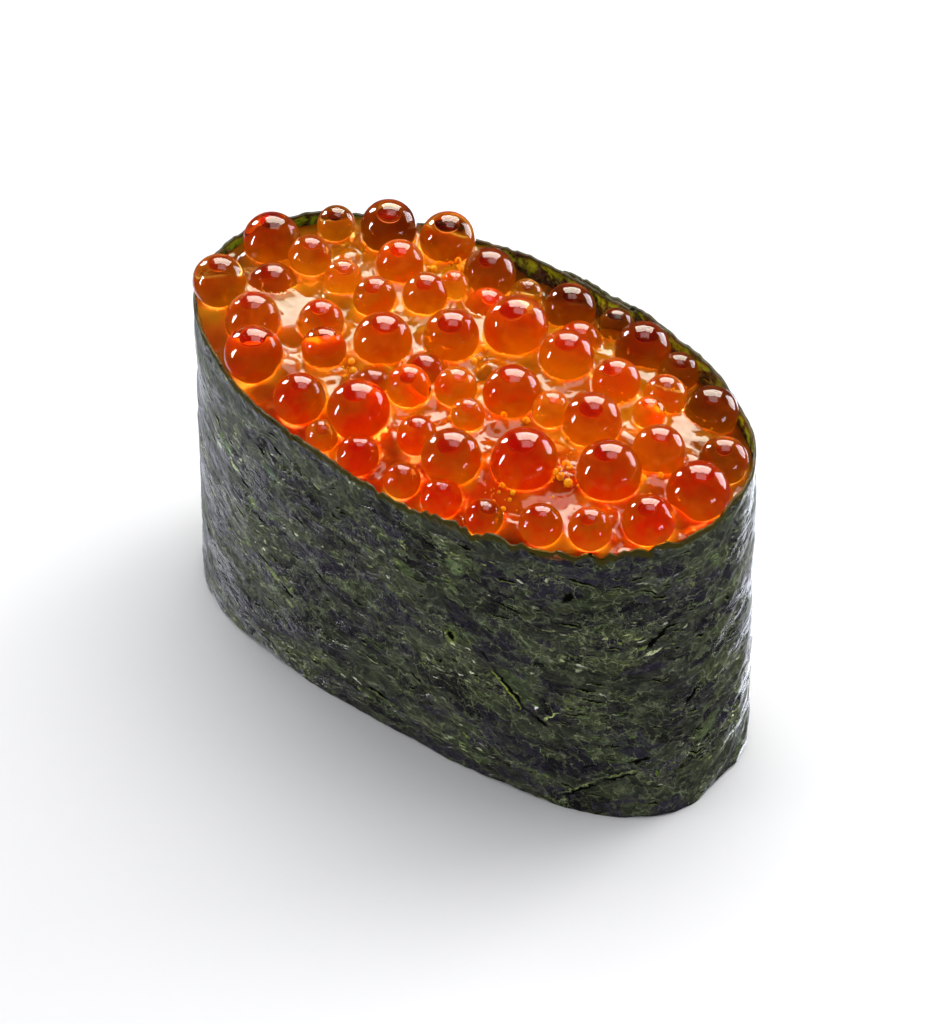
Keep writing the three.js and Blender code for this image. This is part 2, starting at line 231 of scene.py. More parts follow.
def ball_grid(columns, rows):
    """Unit ball: rings of latitude between two poles. Gives the points and the faces, facing out."""
    latitude = np.linspace(-0.5, 0.5, rows + 1)[1:-1, None] * math.pi
    turn = np.arange(columns)[None, :] / columns * TURN
    rings = np.stack(np.broadcast_arrays(
        np.cos(latitude) * np.cos(turn), np.cos(latitude) * np.sin(turn), np.sin(latitude),
    ), axis=-1).reshape(-1, 3)
    south, north = len(rings), len(rings) + 1
    lowest = np.arange(columns)
    highest = (rows - 2) * columns + lowest
    fans = np.vstack([fan(south, lowest, faces_down=True), fan(north, highest)])
    quads = grid_faces(rows - 1, columns, close_columns=True)
    return np.vstack([rings, [[0, 0, -1], [0, 0, 1]]]), quads, fans


def repeat_shape(clouds, quads, triangles):
    """Faces for copies of one shape: each copy's corner numbers are moved on by the points before it."""
    offsets = np.arange(len(clouds))[:, None, None] * clouds.shape[1]
    all_quads = (quads[None] + offsets).reshape(-1, 4)
    all_triangles = (triangles[None] + offsets).reshape(-1, 3)
    return clouds.reshape(-1, 3), all_quads.tolist() + all_triangles.tolist()


# ---- the band's outline


def outline(plan, angle):
    """Superellipse |x/a|^n + |y/b|^n = 1 by its angle, widened towards +X and skewed."""
    x = plan["half_length"] * power(np.cos(angle), 2 / plan["squareness"])
    y = plan["half_width"] * power(np.sin(angle), 2 / plan["squareness"])
    y = y * (1 + plan["taper"] * x / plan["half_length"])
    return np.stack([x + plan["skew"] * y + plan["x"], y + plan["y"]], axis=-1)


def leaning(angle, share):
    """The foot's outline at share 0 and the rim's at share 1."""
    return lerp(outline(FOOT, angle), outline(RIM, angle), np.asarray(share)[..., None])


# The outline half way up, measured step by step, gives even distances round the band.
EVEN_ANGLES = np.linspace(0, TURN, 1441)
EVEN_STEPS = np.diff(leaning(EVEN_ANGLES, 0.5), axis=0)
EVEN_LENGTHS = np.concatenate([[0], np.cumsum(np.hypot(EVEN_STEPS[:, 0], EVEN_STEPS[:, 1]))])
BAND_ROUND = EVEN_LENGTHS[-1]


def band_point(turn, share, inset):
    """A point of the band's outer face, by even turns round it, moved inwards along the normal."""
    STEP = 0.004
    angle = np.interp((turn % 1.0) * BAND_ROUND, EVEN_LENGTHS, EVEN_ANGLES)
    tangent = leaning(angle + STEP, share) - leaning(angle - STEP, share)
    tangent /= np.linalg.norm(tangent, axis=-1, keepdims=True)
    inwards = np.stack([-tangent[..., 1], tangent[..., 0]], axis=-1)
    return leaning(angle, share) + inwards * np.asarray(inset)[..., None]


def rim_height(x, y):
    """Height of the rim's plane, which leans along and across the band."""
    return BAND_HEIGHT + RIM_RISE_ALONG * x / RIM["half_length"] + RIM_RISE_ACROSS * y / RIM["half_width"]


def plan_level(plan, x, y):
    """0 in the middle of an outline and 1 on it, with its taper and skew undone."""
    across = y - plan["y"]
    straight = x - plan["x"] - plan["skew"] * across
    u = np.abs(straight / plan["half_length"])
    v = np.abs(across / plan["half_width"] / (1 + plan["taper"] * straight / plan["half_length"]))
    return (u ** plan["squareness"] + v ** plan["squareness"]) ** (1 / plan["squareness"])


def wall_gap(x, y):
    """How far in from the rim's outline a place lies: half the width at the middle and 0 at the rim."""
    return (1 - plan_level(RIM, x, y)) * RIM["half_width"]


# ---- materials

IN_PLANE = {"noise_dimensions": "2D"}
COLOUR_MIX = {"out": 2, "data_type": "RGBA"}


def linear(code):
    """An sRGB hex colour as linear red, green, blue and alpha."""
    parts = [int(code[i:i + 2], 16) / 255 for i in (1, 3, 5)]
    return tuple(c / 12.92 if c <= 0.04045 else ((c + 0.055) / 1.055) ** 2.4 for c in parts) + (1.0,)


def node(tree, kind, inputs=(), out=0, stops=(), **settings):
    """Adds a node with its settings, fills or links its inputs, named or in order, gives a ramp its
    stops, and hands back one output. A Map Range takes a value, the two ends it comes from and the two
    it goes to. In a colour Mix, 0 is the share and 6 and 7 are the colours."""
    made = tree.nodes.new("ShaderNode" + kind)
    for label, value in settings.items():
        setattr(made, label, value)
    for socket, value in (inputs.items() if isinstance(inputs, dict) else enumerate(inputs)):
        if isinstance(value, bpy.types.NodeSocket):
            tree.links.new(value, made.inputs[socket])
        else:
            made.inputs[socket].default_value = linear(value) if isinstance(value, str) else value
    if stops:
        elements = made.color_ramp.elements
        while len(elements) < len(stops):
            elements.new(1.0)
        for element, (place, colour) in zip(elements, stops):
            element.position = place
            element.color = linear(colour)
    return made.outputs[out] if made.outputs else None


def start_nodes(owner):
    """Clears the nodes of a material or a world, and gives the function that adds one to it."""
    owner.use_nodes = True
    owner.node_tree.nodes.clear()
    return partial(node, owner.node_tree)


def new_material(name):
    """A material of that name, and the function that adds a node to it."""
    material = bpy.data.materials.new(name)
    return material, start_nodes(material)


# The larger marks on the outside of the sheet, drawn in this order: (distance round the band, height,
# heading in degrees, half length, half width, colour, strength).
SHEET_MARKS = (
    (114.6, 12.8, -57, 2.6, 0.95, "#4c5c32", 0.6),      # a torn blade and its bright lip
    (113.3, 12.4, -58, 2.5, 0.09, "#a3b545", 0.9),
    (117.2, 10.6, 42, 1.1, 0.08, "#b0bd74", 0.9),
    # a dark bead and its glint, a painted highlight
    (115.6, 11.1, 0, 0.50, 0.46, "#362f3c", 1.0),
    (115.9, 11.1, 0, 0.12, 0.16, "#f4f4f0", 1.0),
    (109.0, 16.0, 90, 0.90, 0.60, "#74863a", 0.8),      # a pale edge round a pit
    (109.1, 15.3, 0, 0.26, 0.15, "#c9cf9a", 0.9),
    (121.5, 24.2, 10, 1.0, 0.5, "#3c4a28", 0.5),        # a green patch beside a pit
    (111.0, 24.6, 0, 0.9, 0.9, "#6e8050", 0.7),
    (118.5, 2.9, 33, 2.6, 0.08, "#8a9856", 0.9),        # a long strand
    (122.5, 5.0, 20, 2.1, 0.08, "#8a9856", 0.8),
    (126.2, 18.6, 20, 0.8, 0.18, "#c8cfa0", 0.9),       # pale flecks under a slit
    (125.4, 19.2, 40, 0.6, 0.14, "#8fa04a", 0.9),
    (105.5, 21.5, -35, 1.4, 0.6, "#56653a", 0.7),
    (131.0, 8.0, 30, 1.6, 0.7, "#5c6a40", 0.6),
    (83.2, 21.5, -30, 1.3, 0.6, "#5c7a30", 0.7),        # a tangle of green blade
    (84.6, 20.1, -25, 0.8, 0.25, "#a3b56a", 0.8),
    (82.0, 20.6, -25, 0.5, 0.2, "#d0dab0", 0.8),
    (87.0, 17.6, -30, 0.8, 0.3, "#7f9350", 0.7),
    (89.8, 23.4, -30, 1.2, 0.6, "#566e4c", 0.6),
    (89.4, 10.9, -30, 0.9, 0.3, "#83984a", 0.7),
    (91.3, 8.6, -30, 0.5, 0.3, "#a9b57c", 0.8),
    (86.0, 13.0, -30, 0.9, 0.35, "#707e4c", 0.7),
    (77.9, 16.2, -20, 1.0, 0.4, "#97997a", 0.6),
    (78.6, 22.2, -20, 0.9, 0.35, "#808e54", 0.7),
    (79.5, 8.5, -20, 1.0, 0.35, "#8d8a6c", 0.6),
    (120.4, 29.2, 10, 1.9, 0.5, "#8a4a0c", 0.7),        # browned by the brine at the rim
    (110.6, 29.4, 0, 2.6, 0.6, "#4a3a18", 0.8),
)
# The larger slits and pits, painted black as shade: (distance round the band, height, heading, half length,
# half width).
SHEET_SLITS = (
    (113.7, 12.5, -58, 2.4, 0.22), (116.0, 9.7, -35, 1.0, 0.22), (112.0, 15.4, -50, 0.6, 0.16),
    (109.0, 16.1, 90, 0.55, 0.36), (120.3, 24.6, 60, 0.8, 0.38), (118.6, 2.6, 33, 2.5, 0.16),
    (122.6, 4.7, 20, 2.1, 0.16), (124.4, 6.6, 15, 1.3, 0.20), (119.9, 5.6, 25, 1.0, 0.15),
    (126.6, 20.0, 45, 1.4, 0.26), (109.2, 26.1, -30, 0.8, 0.16), (98.5, 20.5, -35, 0.9, 0.16),
    (85.9, 19.3, -30, 1.0, 0.20), (82.0, 23.2, -30, 0.9, 0.18), (81.0, 20.3, -30, 0.7, 0.18),
    (84.0, 22.6, -28, 0.6, 0.16), (88.6, 25.1, -25, 0.8, 0.18), (90.8, 26.4, -25, 0.8, 0.16),
    (90.9, 10.0, -30, 1.1, 0.22), (88.2, 12.0, -30, 0.8, 0.18), (88.0, 16.6, -30, 0.9, 0.18),
    (95.0, 14.5, -32, 0.9, 0.16), (93.3, 19.8, -32, 0.8, 0.15), (79.6, 14.0, -20, 0.8, 0.16),
    (115.4, 22.0, -20, 1.2, 0.14), (129.5, 12.5, 40, 1.0, 0.18), (104.0, 8.5, -35, 0.8, 0.15),
)


def oval(add, vector, middle, heading, reach):
    """1 inside an oval of a flat pattern, turned by heading degrees, and 0 outside it."""
    FLAT = 1e4          # makes the third coordinate count for nothing
    measured = add("Mapping", {
        "Vector": vector, "Location": (*middle, 0), "Rotation": (0, 0, math.radians(heading)),
        "Scale": (*reach, FLAT)}, vector_type="TEXTURE")
    away = add("VectorMath", [measured], out="Value", operation="LENGTH")
    return add("MapRange", [away, 0.7, 1.1, 1.0, 0.0])


def roasted_nori():
    """Roasted nori: chopped red seaweed dried on a screen and toasted. Smooth blades of 2 to 5 mm shine
    blackish slate, olive veils of thinner blade lie over them, and fine pale veins and fibres run over
    the sheet, with slits and pits where it cracked."""
    material, add = new_material("roasted_nori")
    place = add("Attribute", out="Vector", attribute_name="sheet_mm")
    below_rim = add("SeparateXYZ", [place], out="Z")
    inside = add("Attribute", out="Fac", attribute_name="inner_face")

    # The mat wanders: every pattern is read at places pushed about by a millimetre or two.
    drift = add("TexNoise", {"Vector": place, "Scale": 0.3, "Detail": 2.0}, out="Color", **IN_PLANE)
    pushed = add("VectorMath", [drift, (1.8, 1.8, 0.0), place], operation="MULTIPLY_ADD")
    fray = add("TexNoise", {
        "Vector": place, "Scale": 1.4, "Detail": 3.0, "Roughness": 0.6}, out="Color", **IN_PLANE)
    frayed = add("VectorMath", [fray, (2.4, 2.0, 0.0), pushed], operation="MULTIPLY_ADD")
    laid, crossed, ragged = (
        add("Mapping", {"Vector": start, "Rotation": (0, 0, heading), "Scale": (stretch, 1.0, 1.0)})
        for start, heading, stretch in ((pushed, 0.14, 0.40), (pushed, -0.55, 0.45), (frayed, 0.14, 0.55)))
    torn = add("VectorMath", [fray, (0.5, 0.6, 0.0), laid], operation="MULTIPLY_ADD")

    # Single blades, each with its own tone, under veils of thinner blade.
    blades = add("TexVoronoi", {"Vector": ragged, "Scale": 0.33}, out="Color", voronoi_dimensions="2D")
    blade_tone = add("SeparateColor", [blades])
    coats = add("ValToRGB", [blade_tone], stops=(
        (0.0, "#100e12"), (0.3, "#26212e"), (0.65, "#312c3b"), (0.85, "#1b1c18"), (1.0, "#2b2931")))
    veils = []
    for way, scale, low, high, colour, strength in (
        (laid, 0.32, 0.50, 0.58, "#303620", 0.75),
        (crossed, 0.5, 0.53, 0.61, "#444d2f", 0.7),
        (ragged, 0.9, 0.54, 0.64, "#565f45", 0.6),
    ):
        veils.append(add("TexNoise", {
            "Vector": way, "Scale": scale, "Detail": 5.0, "Roughness": 0.62, "Distortion": 0.2}, **IN_PLANE))
        veil = add("MapRange", [veils[-1], low, high, 0.0, strength], interpolation_type="SMOOTHSTEP")
        coats = add("Mix", {0: veil, 6: coats, 7: colour}, **COLOUR_MIX)

    # Matted places, 5 to 8 mm apart, hold most of the loose fibres, specks and wisps.
    matted = add("TexNoise", {"Vector": laid, "Scale": 0.23, "Detail": 3.0, "Roughness": 0.6}, **IN_PLANE)
    mat_share = add("MapRange", [matted, 0.46, 0.60, 0.12, 1.0])

    # Wisps: soft ridges several fibres wide.
    ridges = []
    for way, scale, low, colour in (
        (ragged, 0.42, 0.93, "#474c3a"), (crossed, 0.36, 0.93, "#424736"), (laid, 1.1, 0.9, "#5c6444"),
    ):
        ridges.append(add("TexNoise", {
            "Vector": way, "Scale": scale, "Detail": 3.0, "Roughness": 0.55, "Offset": 0.8, "Gain": 3.0,
        }, noise_type="RIDGED_MULTIFRACTAL", **IN_PLANE))
        shown = add("MapRange", [ridges[-1], low, 1.15, 0.0, 0.5])
        local = add("Math", [shown, mat_share], operation="MULTIPLY")
        coats = add("Mix", {0: local, 6: coats, 7: colour}, **COLOUR_MIX)

    # A net of veins, its meshes about a millimetre wide, shows most where the second veil is thick.
    curled = add("VectorMath", [fray, (1.3, 1.3, 0.0), pushed], operation="MULTIPLY_ADD")
    net = add("TexVoronoi", {"Vector": curled, "Scale": 0.8}, out="Distance", voronoi_dimensions="2D",
              feature="DISTANCE_TO_EDGE")
    vein = add("MapRange", [net, 0.01, 0.055, 0.8, 0.0])
    vein_here = add("MapRange", [veils[1], 0.42, 0.56, 0.2, 1.0])
    vein = add("Math", [vein, vein_here], operation="MULTIPLY")
    coats = add("Mix", {0: vein, 6: coats, 7: "#7c8762"}, **COLOUR_MIX)

    # Single fibres: thin pale lines where a noise passes through its middle value.
    fibres = []
    for way, scale, width, colour, strength, seed in (
        (laid, 0.6, 0.005, "#9aa17c", 0.5, 3.1),
        (crossed, 0.5, 0.004, "#8f9574", 0.6, 7.7),
        (frayed, 0.7, 0.006, "#94a062", 0.7, 12.3),
        (crossed, 1.7, 0.010, "#7c8850", 0.6, 21.9),
    ):
        moved = add("VectorMath", [way, (seed, 2 * seed, 0)])
        field = add("TexNoise", {
            "Vector": moved, "Scale": scale, "Detail": 4.0, "Roughness": 0.5}, **IN_PLANE)
        line = add("Math", [field, 0.5, width], operation="COMPARE")
        here = add("TexNoise", {"Vector": moved, "Scale": 0.6 * scale, "Detail": 2.0}, **IN_PLANE)
        shown = add("MapRange", [here, 0.45, 0.62, 0.0, strength])
        local = add("Math", [shown, mat_share], operation="MULTIPLY")
        fibres.append(add("Math", [line, local], operation="MULTIPLY"))
        coats = add("Mix", {0: fibres[-1], 6: coats, 7: colour}, **COLOUR_MIX)

    # The larger marks of this sheet, each an oval with frayed edges.
    scarred = add("VectorMath", [fray, (0.7, 0.7, 0.0), place], operation="MULTIPLY_ADD")
    scarred = add("VectorMath", [scarred, (-0.35, -0.35, 0.0)])
    for along, height, heading, half_length, half_width, colour, strength in SHEET_MARKS:
        shape = oval(add, scarred, (along, height), heading, (half_length, half_width))
        mark = add("Math", [shape, strength], operation="MULTIPLY")
        coats = add("Mix", {0: mark, 6: coats, 7: colour}, **COLOUR_MIX)

    # Specks of torn blade, 0.1 to 0.3 mm high and longer along the sheet, in the matted places: green
    #     ones, and pale ones that are painted highlights where they catch the light.
    specks = add("TexVoronoi", {"Vector": torn, "Scale": 2.4}, out="Color", voronoi_dimensions="2D")
    luck = add("SeparateColor", [specks])
    lucky = add("MapRange", [luck.node.outputs[1], 0.65, 0.90, 0.0, 1.0])
    dot = add("MapRange", [specks.node.outputs["Distance"], 0.14, 0.32, 1.0, 0.0])
    speck_and_glint = add("Math", [dot, lucky], operation="MULTIPLY")
    knots = add("MapRange", [matted, 0.50, 0.58, 0.0, 1.0])
    speck_and_glint = add("Math", [speck_and_glint, knots], operation="MULTIPLY")
    speck_and_glint_tone = add("ValToRGB", [luck], stops=((0.2, "#6c8a2c"), (0.6, "#a3ad66"), (0.9, "#dde3c4")))
    coats = add("Mix", {0: speck_and_glint, 6: coats, 7: speck_and_glint_tone}, **COLOUR_MIX)

    # Fine grain: the coat is thicker and thinner from one half millimetre to the next.
    grain = add("TexNoise", {"Vector": frayed, "Scale": 1.1, "Detail": 5.0, "Roughness": 0.7}, **IN_PLANE)
    thick = add("MapRange", [grain, 0.35, 0.65, 0.35, 1.25])
    coats = add("VectorMath", {0: coats, "Scale": thick}, operation="SCALE")

    # Slits where the mat split as it dried: painted black inside as shade, with a thin green lip below.
    for scale, half_length, half_width, luck_from, seed in (
        (0.30, 0.42, 0.13, 0.55, 3.0), (0.42, 0.24, 0.10, 0.50, 27.0), (0.85, 0.10, 0.09, 0.65, 51.0),
    ):
        moved = add("VectorMath", [torn, (seed, 2 * seed, 0)])
        cells = add("TexVoronoi", {"Vector": moved, "Scale": scale}, out="Color", voronoi_dimensions="2D")
        luck = add("SeparateColor", [cells], out=2)
        lucky = add("MapRange", [luck, luck_from, luck_from + 0.05])
        away = add("VectorMath", [moved, cells.node.outputs["Position"]], operation="SUBTRACT")
        for drop, colour in ((0.6 * half_width, "#626f3e"), (0.0, "#000000")):
            shape = oval(add, away, (0, -drop), -14, (half_length, half_width))
            slit = add("Math", [shape, lucky], operation="MULTIPLY")
            coats = add("Mix", {0: slit, 6: coats, 7: colour}, **COLOUR_MIX)
    # The larger slits, painted black as shade.
    for along, height, heading, half_length, half_width in SHEET_SLITS:
        slit = oval(add, scarred, (along, height), heading, (half_length, half_width))
        coats = add("Mix", {0: slit, 6: coats, 7: "#000000"}, **COLOUR_MIX)
    # Where the colour is black, a matt black shader takes over: painted shade with no gloss.
    lightness = add("RGBToBW", [coats])
    gap = add("MapRange", [lightness, 0.0002, 0.0012, 1.0, 0.0])

    # The torn rim is thin: browned on the outside. On the inside, light coming through is painted as bright
    # green, and a little real translucency is mixed in.
    rim_noise = add("TexNoise", {
        "Vector": pushed, "Scale": 0.8, "Detail": 4.0, "Roughness": 0.65}, **IN_PLANE)
    rim_reach = add("MapRange", [rim_noise, 0.3, 0.7, 0.1, 2.6])
    rim_share = add("Math", [below_rim, rim_reach], operation="DIVIDE")
    rim_fade = add("MapRange", [rim_share, 0.2, 1.0, 1.0, 0.0], interpolation_type="SMOOTHSTEP")
    under_edge = add("MapRange", [below_rim, 0.1, 0.35, 0.0, 1.0])
    rim_fade = add("Math", [rim_fade, under_edge], operation="MULTIPLY")
    backlit_rim = add("Math", [rim_fade, inside], operation="MULTIPLY")
    fringe_reach = add("MapRange", [rim_noise, 0.35, 0.65, 0.2, 0.95])
    fringe_share = add("Math", [below_rim, fringe_reach], operation="DIVIDE")
    worn = add("MapRange", {0: inside, 3: 0.95, 4: 0.2})
    fringe = add("MapRange", [fringe_share, 0.5, 1.0, worn, 0.0])
    coats = add("Mix", {0: fringe, 6: coats, 7: "#3a3512"}, **COLOUR_MIX)
    painted_backlight = add("ValToRGB", [rim_noise], stops=((0.43, "#18240a"), (0.57, "#a0e83c")))
    coats = add("Mix", {0: backlit_rim, 6: coats, 7: painted_backlight}, **COLOUR_MIX)

    # Relief of the mat, about 0.05 mm high: blades swell, and wisps, fibres and specks stand out.
    swell = add("TexNoise", {"Vector": laid, "Scale": 1.1, "Detail": 2.0, "Roughness": 0.5}, **IN_PLANE)
    relief = swell
    for part, height in ((ridges[0], 0.25), (ridges[2], 0.12), (fibres[0], 0.3), (speck_and_glint, 0.3)):
        relief = add("Math", [part, height, relief], operation="MULTIPLY_ADD")
    bump = add("Bump", {"Strength": 1.0, "Distance": 0.3 * MM, "Height": relief})
    rough = add("MapRange", [veils[0], 0.45, 0.60, 0.22, 0.5])
    surface = add("BsdfPrincipled", {
        "Base Color": coats, "Roughness": rough, "IOR": 1.45, "Specular IOR Level": 0.5, "Normal": bump})
    through = add("BsdfTranslucent", {"Color": "#a4e838", "Normal": bump})
    thin = add("Math", [backlit_rim, 0.3], operation="MULTIPLY")
    sheet = add("MixShader", [thin, surface, through])
    # Loose fibre ends at the torn edge scatter the light, so the fringe has no gloss.
    ends = add("BsdfDiffuse", {"Color": "#463f18", "Roughness": 1.0})
    sheet = add("MixShader", [fringe, sheet, ends])
    painted_slit_shade = add("BsdfDiffuse", {"Color": "#080805"})
    sheet = add("MixShader", [gap, sheet, painted_slit_shade])
    add("OutputMaterial", {"Surface": sheet})
    return material


def salmon_brine():
    """Thick salty brine with oil and broken roe in it, level between the eggs. Light that gets in
    comes back orange from all round, and a golden glow is painted at the foot of some eggs, where it is
    thin."""
    material, add = new_material("salmon_brine")
    place = add("TexCoord", out="Object")
    foot_glow, bowl, warmth, painted_shade = (
        add("Attribute", out="Fac", attribute_name=label) for label in ("foot_glow", "bowl", "warmth", "painted_shade"))
    clouds = add("TexNoise", {"Vector": place, "Scale": 260.0, "Detail": 3.0})
    shade = add("Math", [clouds, 0.5, warmth], operation="MULTIPLY_ADD")
    base = add("ValToRGB", [shade], stops=(
        (0.10, "#946708"), (0.45, "#945c06"), (0.80, "#9e4804"), (1.0, "#9a2d02")))
    # Painted light: a golden glow at the feet of some eggs, where the brine is thin.
    golden = add("Mix", {0: foot_glow, 6: base, 7: "#c89c1a"}, **COLOUR_MIX)
    # Under the eggs the colour is that of their yolk, clouded every millimetre or two.
    yolk_clouds = add("TexNoise", {"Vector": place, "Scale": 620.0, "Detail": 3.0})
    yolk_shade = add("MapRange", [yolk_clouds, 0.38, 0.62, -0.4, 0.35])
    yolk_warmth = add("Math", [yolk_shade, warmth], operation="ADD")
    yolk = add("ValToRGB", [yolk_warmth], stops=(
        (0.05, "#ceac3a"), (0.40, "#c29426"), (0.70, "#ce7e12"), (1.0, "#d45a02")))
    body = add("Mix", {0: bowl, 6: golden, 7: yolk}, **COLOUR_MIX)
    # Painted shade: next to the far wall little light gets in behind the eggs, so they show the dark nori;
    # here that is painted as dark brown, and under two eggs as well.
    colour = add("Mix", {0: painted_shade, 6: body, 7: "#42180c"}, **COLOUR_MIX)
    ripple = add("TexNoise", {"Vector": place, "Scale": 620.0, "Detail": 1.5})
    bump = add("Bump", {"Strength": 0.8, "Distance": 0.3 * MM, "Height": ripple})
    surface = add("BsdfPrincipled", {
        "Base Color": colour, "Roughness": 0.06, "IOR": 1.37, "Normal": bump,
        "Subsurface Weight": 0.55, "Subsurface Radius": (1.0, 0.3, 0.05), "Subsurface Scale": 1.6 * MM})
    add("OutputMaterial", {"Surface": surface})
    return material


def roe_glass(name, path_colour, path_mm, ior, tint):
    """A clear wet ball: a smooth skin over liquid that takes out blue and then green with depth.
    path_colour is what is left of white light after path_mm of it, and tint colours its shadow."""
    material, add = new_material(name)
    taken = [-math.log(max(c, 0.002)) / (path_mm * MM) for c in linear(path_colour)[:3]]
    density = max(taken) * 1.02
    skin = add("BsdfPrincipled", {
        "Base Color": "#ffffff", "Roughness": 0.0, "IOR": ior, "Transmission Weight": 1.0})
    let_by = add("BsdfTransparent", {"Color": tint})
    shadow = add("LightPath", out="Is Shadow Ray")
    mixed = add("MixShader", [shadow, skin, let_by])
    liquid = add("VolumeAbsorption", {
        "Color": tuple(1 - t / density for t in taken) + (1.0,), "Density": density})
    add("OutputMaterial", {"Surface": mixed, "Volume": liquid})
    return material


def brine_bubble():
    """A bubble in oily brine: a thin film that partly lets through what lies under it and partly
    gathers its light, so it shows golden with a sharp white glint."""
    material, add = new_material("brine_bubble")
    place = add("TexCoord", out="Object")
    patches = add("TexNoise", {"Vector": place, "Scale": 2500.0, "Detail": 1.0})
    colour = add("ValToRGB", [patches], stops=((0.35, "#e68a14"), (0.60, "#ffc824")))
    surface = add("BsdfPrincipled", {
        "Base Color": colour, "Roughness": 0.04, "IOR": 1.3, "Transmission Weight": 0.4})
    add("OutputMaterial", {"Surface": surface})
    return material


def steamed_rice():
    """Short-grain sushi rice, steamed and dressed with vinegar: pearly white, translucent at the skin
    and slightly sticky-glossy."""
    material, add = new_material("steamed_rice")
    place = add("TexCoord", out="Object")
    clouds = add("TexNoise", {"Vector": place, "Scale": 450.0, "Detail": 3.0})
    colour = add("ValToRGB", [clouds], stops=((0.3, "#e3ddca"), (0.7, "#f6f3ea")))
    grain = add("TexNoise", {"Vector": place, "Scale": 2200.0, "Detail": 2.0})
    bump = add("Bump", {"Strength": 0.3, "Distance": 0.1 * MM, "Height": grain})
    surface = add("BsdfPrincipled", {
        "Base Color": colour, "Roughness": 0.34, "IOR": 1.45, "Normal": bump,
        "Subsurface Weight": 0.4, "Subsurface Radius": (1.0, 0.8, 0.6), "Subsurface Scale": 1.2 * MM})
    add("OutputMaterial", {"Surface": surface})
    return material


def studio_paper():
    """Matt white background paper."""
    material, add = new_material("studio_paper")
    surface = add("BsdfPrincipled", {"Base Color": "#f6f6f6", "Roughness": 0.9, "Specular IOR Level": 0.1})
    add("OutputMaterial", {"Surface": surface})
    return material


# ---- nori

SHEET_COLUMNS = 640
SHEET_ROWS = 112
INNER_ROWS = 14
# Swells of the sheet and teeth of its rim: (reach along, reach up, height, seed).
SHEET_SWELLS = ((6.5, 4.5, 0.20, 1), (2.4, 1.3, 0.11, 2), (0.9, 0.6, 0.07, 3))
RIM_TEETH = ((1.5, 1, 0.40, 5), (0.45, 1, 0.55, 6))
CREASE = (0.75, 3.5, 0.42, 4)
CREASES_AT = (0.995, 0.032)  # where the creases lie and how far they reach, in turns
CREASE_LEAN = (0.83, 0.55)   # up and along for each millimetre of a crease
TORN_FROM = (0.74, 0.84)     # the front of the rim, in turns, where the sheet was torn and not cut
TORN_TO = (0.96, 1.0)


def sheet_relief(turn, share):
    """How far the sheet stands out of its outline: the pucker of the solid, then swells and slanting
    creases on the +X end, all flatter where the two ends lap."""
    along, height = turn * BAND_ROUND, share * BAND_HEIGHT
    waves = np.sin(TURN * (9 * turn + 0.8 * share)) * np.sin(TURN * (1.3 * share + 4 * turn))
    pucker = PUCKER * waves * np.sin(math.pi * share)
    swells = sum(bumps(along, height, *swell) for swell in SHEET_SWELLS)
    up, on = CREASE_LEAN
    creases = bumps(up * height - on * along, up * along + on * height, *CREASE)
    creases = creases * np.exp(-((turn - CREASES_AT[0]) / CREASES_AT[1]) ** 2)
    lapped = 1 - 0.75 * (smoothstep(turn, 1.15, 1.18) + 1 - smoothstep(turn, 0.275, 0.30))
    return pucker + lapped * (swells + creases)


def torn_rim(turn):
    """Height of the torn top edge above the rim plane: long waves, then teeth 0.4 to 1.5 mm wide and
    nicks, deep at the front of the +X end and shallow where the sheet was cut."""
    along = turn * BAND_ROUND
    wave = RIM_WAVE * (0.6 * np.sin(TURN * 7 * turn + 1) + 0.4 * np.sin(TURN * 17 * turn))
    teeth = sum(bumps(along, 0 * along, *tooth) for tooth in RIM_TEETH)
    nicks = -0.45 * smoothstep(mottle(along / 1.1, 0 * along, 8), 0.78, 0.95)
    torn = smoothstep(turn % 1, *TORN_FROM) * (1 - smoothstep(turn % 1, *TORN_TO))
    return wave + (teeth + nicks) * lerp(0.3, 1.0, torn)


def torn_foot(turn):
    """Height of the bottom edge above the board: the waves of the solid and small teeth."""
    along = turn * BAND_ROUND
    wave = FOOT_WAVE * (0.5 + 0.5 * np.sin(TURN * 6 * turn + 2)) * (0.5 + 0.5 * np.sin(TURN * 11 * turn))
    return wave + 0.16 * mottle(along / 0.7, 0 * along, 9)


def lap_lift(turn):
    """The outer end of the sheet climbs over the inner end from just before it."""
    return LAP_LIFT * smoothstep(turn, 1.165, 1.2)


